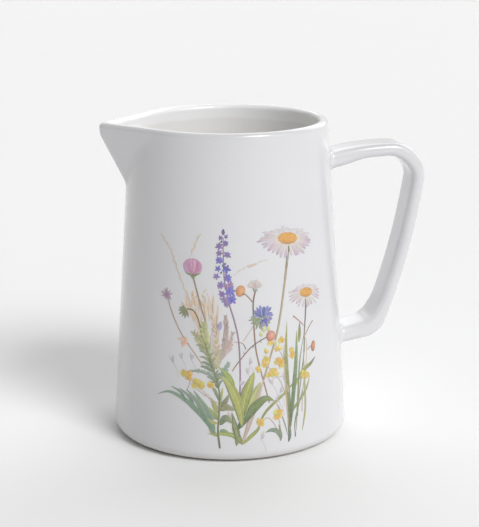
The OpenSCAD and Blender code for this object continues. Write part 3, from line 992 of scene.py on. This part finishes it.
def paint_grass():
    e = Enamel(0.06, 81)
    blades = (([(20.4, 10), (20.6, 26), (19.6, 44), (19.2, 60), (20, 75)], 2.6, MOSS, LIME),
            ([(20.2, 11), (22.8, 30), (24.8, 46), (25.8, 58), (26, 69)], 2.5, PINE, (150, 172, 96)),
            ([(2, 18), (6, 26), (11, 31), (18, 36), (24, 41), (31, 46)], 1.6, (150, 150, 84), LIME),
            ([(21, 17), (22.4, 25), (30, 33), (33.4, 38), (35, 43)], 1.5, LEAF, LIME),
            ([(24, 38), (30, 46), (36, 49), (39.6, 52)], 2.3, LIME, MOSS),
            ([(25, 14), (26.6, 36), (28, 52), (31, 66)], 0.9, LEAF, SAGE),
            ([(29, 13), (31.4, 26), (31, 44), (30.6, 58)], 1.2, LIME, STRAW),
            ([(24.2, 11), (24.4, 20), (27.6, 30), (30.4, 38)], 0.7, SLATE, LEAF),
            ([(27.4, 62), (28, 67), (28.2, 73)], 2.0, LIME, MOSS),
            ([(19.8, 12), (17.6, 20), (14.6, 28), (12, 33)], 0.7, SAGE, STRAW),
            ([(20.2, 16), (19, 34), (18.2, 50), (17.4, 62)], 0.8, STRAW, LIME))
    for route, width, root, tip in blades:
        e.leaf(route, width, root, tip, (0.95, 0.85), rib=0.12, edge=0.06, streak=0.08, belly=0.4, along=22)
    e.leaf([(20.0, 8.6), (20.8, 12.4), (21, 18.5)], 1.9, (48, 52, 40), PINE, (0.95, 0.7), belly=0.5)
    e.leaf([(24.2, 10.6), (24.6, 14)], 0.8, (60, 60, 60), SLATE, along=5)
    return e


def paint_broad_leaves():
    e = Enamel(0.075, 91)
    leaves = (([(-6, 20), (-7.4, 30), (-10, 38), (-13, 44), (-17, 48)], 5.4, LIME, (196, 196, 112)),
            ([(-9.4, 41), (-12, 46), (-14, 49), (-17.6, 52.6)], 3.4, LIME, (150, 160, 76)),
            ([(-5.6, 25), (-4.6, 34), (-2, 42), (1.2, 50)], 6.0, LEAF, LIME),
            ([(-5.4, 24), (-2, 32), (1.4, 38), (4.4, 44)], 5.4, (190, 194, 116), (204, 206, 146)),
            ([(-8, 18.6), (-3, 26), (2, 31.4), (7, 34.6), (11.6, 33)], 5.0, PINE, LEAF),
            ([(-8.4, 19.4), (-4, 25), (0.2, 29), (2.6, 33)], 4.0, PINE, MOSS),
            ([(-9.2, 9.6), (-8.6, 16), (-10, 22), (-11.4, 28.4)], 3.1, LEAF, MOSS),
            ([(-5.6, 10.4), (-8, 13), (-11, 15.6), (-17, 16.4), (-24.4, 16)], 2.5, LEAF, LIME),
            ([(-5.8, 10.4), (-8, 14), (-10, 19), (-11.2, 24)], 3.2, (150, 150, 74), LEAF),
            ([(-6.2, 10.2), (-2, 14), (2.4, 18), (3.6, 21.4)], 2.0, LIME, LEAF),
            ([(15.6, 11), (13.4, 15.6), (10, 17), (6.6, 16)], 2.3, SAGE, SPRUCE),
            ([(15.2, 10), (15.4, 14), (14.2, 19.6)], 1.6, SAGE, LEAF))
    for route, width, root, tip in leaves:
        e.leaf(route, width, root, tip, (0.95, 0.9), rib=-0.06, edge=0.14, streak=0.12,
               belly=0.42, along=18, across=8)
        e.leaf(route, width * 0.05 + 0.12, tip, (204, 204, 140), (0.9, 0.85), along=18, across=2)
    e.leaf([(-6.4, 10), (-2, 22), (2, 33), (6.4, 46)], 2.5,
           (206, 190, 168), (216, 198, 170), (0.9, 0.8), edge=0.1, streak=0.08, along=18)
    e.leaf([(-20, 16), (-25.6, 24), (-31.6, 30), (-38, 34.4), (-46, 36.8), (-54, 34)], 2.9, SPRUCE, SAGE,
           (0.9, 0.8), rib=0.08, edge=0.08, streak=0.08, belly=0.3, along=20, across=8)
    for base, tip, width in (((-20.4, 16.4), (-31.6, 39.4), 3.7), ((-25, 23), (-35.8, 39.8), 2.6),
            ((-31, 29.6), (-40, 39.8), 1.9), ((-36, 33.4), (-45, 40), 1.4)):
        mid = ((base[0] + tip[0]) / 2 + 1.3, (base[1] + tip[1]) / 2 + 1.0)
        e.leaf([base, mid, tip], width, SPRUCE, SAGE, (0.9, 0.8), rib=0.1, streak=0.08, belly=0.4, across=6)
    return e


def frond(e, route, leaflets, length, tones, lean, width=0.32):
    """A stem with pointed leaflets on both sides, smaller towards its tip."""
    line = smooth_route(route, leaflets)
    for i in range(1, leaflets):
        (a0, z0), (a1, z1) = line[i - 1], line[i + 1]
        heading = math.degrees(math.atan2(z1 - z0, a1 - a0))
        size = length * (1 - 0.55 * i / leaflets) * e.about(1.0, 0.25)
        tone = tones[min(int(len(tones) * i / leaflets), len(tones) - 1)]
        for side in (-1, 1):
            turn = heading + side * e.about(lean, 0.2)
            tip = toward(line[i], turn, size)
            mid = toward(line[i], turn - side * 14, size * 0.55)
            e.leaf([line[i], mid, tip], size * width, tone, e.choice(tones), (0.85, 0.7),
                   rib=0.1, edge=0.05, along=7, across=4)


def paint_leafy_stems():
    e = Enamel(0.055, 101)
    greens, limes = (PINE, (92, 120, 60), LEAF, (160, 166, 70)), (LEAF, LIME, LIME)
    e.stem([(-18, 8.4), (-18.8, 18), (-18, 28), (-17.6, 38), (-19.4, 47), (-22, 56), (-25, 66)],
           1.05, 0.6, MOSS, LEAF)
    frond(e, [(-17.6, 38), (-19.4, 46), (-22, 54), (-25, 63), (-27, 70)], 11, 8.2, greens, 42, 0.23)
    frond(e, [(-18.4, 42), (-20.4, 50), (-23, 58)], 7, 5.4, (PINE, PINE, LEAF), 24, 0.3)
    frond(e, [(-25, 60), (-28, 66), (-31, 71)], 6, 5.6, (LEAF, LIME, (176, 160, 96)), 36, 0.24)
    frond(e, [(-23, 56), (-25, 66), (-25.6, 77)], 9, 6.2, limes, 32, 0.28)
    e.leaf([(-24, 62), (-24.6, 70), (-25, 78)], 4.2, LIME, (200, 202, 110), (0.8, 0.6), streak=0.12)
    frond(e, [(-19, 48), (-18.4, 58), (-18.8, 68), (-20, 76)], 9, 5.4,
          ((190, 190, 120), (214, 196, 156), BLUSH), 30, 0.4)
    e.leaf([(-20.6, 50), (-20.4, 60), (-21, 72)], 4.4, (206, 204, 150), (226, 204, 180), (0.7, 0.5),
           streak=0.14, along=12, across=8)
    tans = ((190, 168, 154), (194, 170, 160), (180, 156, 144))
    e.leaf([(-17.4, 54), (-14.8, 64), (-13.4, 72), (-13.4, 80)], 2.6, tans[0], tans[2], (0.7, 0.75),
           streak=0.14, belly=0.6, along=14, across=6)
    frond(e, [(-17, 54), (-14.4, 64), (-13.4, 72), (-13.6, 80)], 14, 5.4, tans, 24, 0.34)
    frond(e, [(-15.8, 57), (-12, 64), (-10, 71)], 9, 4.6, (BLUSH, tans[1]), 26, 0.36)
    frond(e, [(-18.6, 45), (-15, 50), (-12.4, 55)], 8, 4.2, (SPRUCE, SAGE), 30, 0.36)
    frond(e, [(-18.4, 44), (-23, 48.4), (-29, 50), (-34, 49)], 13, 3.6, (SPRUCE, SAGE, SAGE), 26, 0.34)
    e.stem([(-18.4, 44), (-23, 48.4), (-29, 50), (-35, 48.6)], 0.8, 0.4, SPRUCE, SAGE)
    for route, width, tone in (([(-17.8, 24), (-21, 27), (-24, 31)], 3.4, LEAF),
            ([(-17.8, 27), (-20, 31), (-22, 36)], 3.0, LIME),
            ([(-17.6, 29), (-14, 31), (-9.6, 29)], 3.6, LEAF),
            ([(-17.6, 31), (-14.6, 34), (-12.6, 38)], 2.6, MOSS),
            ([(-17.8, 21), (-14.6, 25), (-11, 22)], 3.8, PINE),
            ([(-18, 18), (-15, 17.4), (-12, 15)], 2.8, SPRUCE),
            ([(-18.6, 15), (-21.6, 17), (-24, 21)], 2.4, LIME),
            ([(-17.8, 34), (-20, 40), (-22, 42)], 1.8, SPRUCE),
            ([(-17.8, 30), (-17, 36), (-15.6, 42)], 1.8, LEAF),
            ([(-19, 22), (-22, 22.6), (-24.6, 24.4)], 2.2, LIME)):
        e.leaf(route, width, tone, e.choice((LIME, LEAF, tone)), (0.92, 0.8), rib=0.12,
               streak=0.1, along=9, across=6)
    return e


def spikelets(e, route, count, size, tone):
    """A dry grass head: slim seeds left and right along a thin stalk."""
    e.stem(route, 0.25, 0.15, tone, tone, 0.55)
    line = smooth_route(route, count)
    for i in range(1, count + 1):
        (a0, z0), (a1, z1) = line[i - 1], line[i]
        heading = math.degrees(math.atan2(z1 - z0, a1 - a0))
        turn = heading + (14 if i % 2 else -14)
        e.leaf([line[i], toward(line[i], turn, e.about(size, 0.25))], size * 0.24,
               tone, SAND, (0.7, 0.5), along=5, across=2)


def paint_seed_wisps():
    e = Enamel(0.03, 111)
    spikelets(e, [(-33, 86), (-36, 95), (-40, 105), (-43, 113), (-48, 119.6)], 17, 3.0, STRAW)
    spikelets(e, [(-31.6, 111), (-29.4, 116), (-27, 121)], 6, 2.8, SAND)
    spikelets(e, [(-9, 101.6), (-2, 106), (7.4, 108.6)], 6, 2.4, STRAW)
    e.leaf([(-1.6, 105.4), (1.6, 106.6), (4, 107)], 1.1, PEACH, SAND, (0.7, 0.5), along=6)
    tufts = ((-33, 93), (-31, 87), (-29, 92), (-24, 89), (-23, 94), (-19, 91), (-18.4, 84), (-28, 84))
    for a, z in tufts:
        for _ in range(7):
            tip = (a + 3.4 * (e.random() - 0.5), z - 11 * e.random())
            start = (tip[0] * 0.7 - 7.2 + 1.6 * e.random(), tip[1] - 9 - 5 * e.random())
            mid = ((start[0] + tip[0]) / 2 + e.random() - 0.5, (start[1] + tip[1]) / 2)
            tone = e.choice((SAND, PEACH, STRAW, (208, 178, 126)))
            e.leaf([start, mid, tip], 0.35 + 0.55 * e.random(), tone, tone, (0.3, 0.8), belly=0.65)
        for _ in range(4):
            seed = (a - 2.6 + 3.2 * e.random(), z - 10 + 9 * e.random())
            turn = 48 + 84 * e.random()
            tone = e.choice((PEACH, (214, 168, 118), (206, 184, 120)))
            e.leaf([seed, toward(seed, turn, e.about(3.4, 0.3))], e.about(1.1, 0.3),
                   tone, SAND, (0.75, 0.55), along=6)
    for a, z in ((-43, 54), (-38, 57), (-32.4, 57), (-1.6, 55), (-2.4, 50), (11, 43), (15, 38), (14.6, 33),
            (-7, 44), (17.4, 45), (-11, 33), (-12, 26), (4, 14)):
        lean = 40 + 90 * e.random()
        for spread in (-34, 10):
            turn = lean + spread
            e.leaf([(a, z - 1.4), toward((a, z), turn, e.about(2.9, 0.3))], e.about(1.35, 0.2),
                   (182, 168, 186), e.choice((ASH, (176, 160, 182), STRAW)), (0.7, 0.5),
                   belly=0.55, along=6, across=4)
        e.stem([(a, z - 1.4), (a + 2.2, z - 5), (a + 3.0, z - 9)], 0.25, 0.3, ASH, STRAW, 0.5)
    e.stem([(11, 45), (17, 45.4), (19, 44)], 0.4, 0.3, ASH, ASH, 0.6)
    e.stem([(-35, 47), (-33.4, 44), (-35.4, 38.6)], 0.9, 0.6, (190, 170, 178), ASH, 0.6)
    e.stem([(-26, 37), (-23.6, 37.4), (-21, 34)], 0.7, 0.4, BLUSH, STRAW, 0.6)
    return e


def build_print():
    """Each motif's piece, the CAD node it stands for, and its material slot."""
    large, small, discs = paint_daisies()
    motifs = ((large, "large_daisy", "petal_enamel"), (small, "small_daisy", "petal_enamel"),
            (discs, "daisy_discs", "disc_enamel"), (paint_larkspur(), "larkspur", "violet_enamel"),
            (paint_clover(), "clover", "pink_enamel"), (paint_cornflower(), "cornflower", "blue_enamel"),
            (paint_berries(), "berries", "berry_enamel"),
            (paint_buttercups(), "buttercups", "yellow_enamel"),
            (paint_flower_stems(), "flower_stems", "stem_enamel"),
            (paint_grass(), "grass_blades", "grass_enamel"),
            (paint_broad_leaves(), "broad_leaves", "leaf_enamel"),
            (paint_leafy_stems(), "leafy_stems", "foliage_enamel"),
            (paint_seed_wisps(), "seed_wisps", "wisp_enamel"))
    materials = {}
    for e, motif, slot in motifs:
        if slot not in materials:
            materials[slot] = enamel_material(slot, *ENAMELS[slot])
        piece = e.build("painted_" + motif, materials[slot])
        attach(piece, "root")
        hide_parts("print_" + motif)


# ---- stage ----

def add_floor():
    size = 8000
    floor = new_object("floor", [(-size, -size, 0), (size, -size, 0), (size, size, 0), (-size, size, 0)],
            [(0, 1, 2, 3)], floor_material())


def far_light(name, way, strength, spread=45):
    """A far softbox in the direction way, spread degrees wide."""
    light = bpy.data.lights.new(name, "SUN")
    light.angle = math.radians(spread)
    light.energy = strength
    linked(name, light).rotation_euler = Vector(way).to_track_quat("Z", "Y").to_euler()


def add_world(up, behind):
    """A dim room that is a little lighter overhead and behind the object."""
    world = bpy.data.worlds.new("studio")
    world.use_nodes = True
    tree = world.node_tree
    way = tree.nodes.new("ShaderNodeSeparateXYZ")
    tree.links.new(tree.nodes.new("ShaderNodeTexCoord").outputs["Generated"], way.inputs[0])
    total = tree.nodes.new("ShaderNodeMath")
    for k, (axis, strength) in enumerate((("Z", up), ("Y", behind))):
        part = tree.nodes.new("ShaderNodeMath")
        part.operation = "MULTIPLY"
        part.use_clamp = True
        part.inputs[1].default_value = strength
        tree.links.new(way.outputs[axis], part.inputs[0])
        tree.links.new(part.outputs[0], total.inputs[k])
    background = tree.nodes["Background"]
    background.inputs["Color"].default_value = (1, 1, 1, 1)
    tree.links.new(total.outputs[0], background.inputs["Strength"])
    bpy.context.scene.world = world


def add_lights():
    bpy.context.scene.view_settings.view_transform = "Standard"
    add_world(up=0.136, behind=0.797)
    far_light("key", (0.55, -1.0, 1.1), 1.47, spread=24)
    far_light("front", (0.3, -1.3, 0.9), 0.38)
    far_light("front_right", (1.1, -1.1, 0.8), 0.54)
    far_light("back_right", (1.2, 1.0, 0.8), 0.74)
    far_light("back", (0.1, 1.3, 1.0), 0.44)
    far_light("left", (-1.2, -0.4, 1.0), 0.12)


add_camera()
glaze = glaze_material()
body, spout = build_shell(glaze)
line = handle_line()
handle = build_handle(line, glaze)
x_end, z_end, h_end = line[-1]
upper_slip = build_slip_fillet("upper_slip_fillet", line[0], 1, UNDER_ROOT, glaze)
lower_slip = build_slip_fillet("lower_slip_fillet", (x_end, z_end, h_end + 180), -1, UNDER_LOW, glaze)
for piece, node in ((body, "body"), (spout, "pouring_spout"), (handle, "handle"),
        (upper_slip, "upper_handle_joint"), (lower_slip, "lower_handle_joint")):
    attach(piece, "root")
    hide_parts(node)
build_print()
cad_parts["foot_ring"].data.materials[0] = bisque_material()
add_floor()
add_lights()
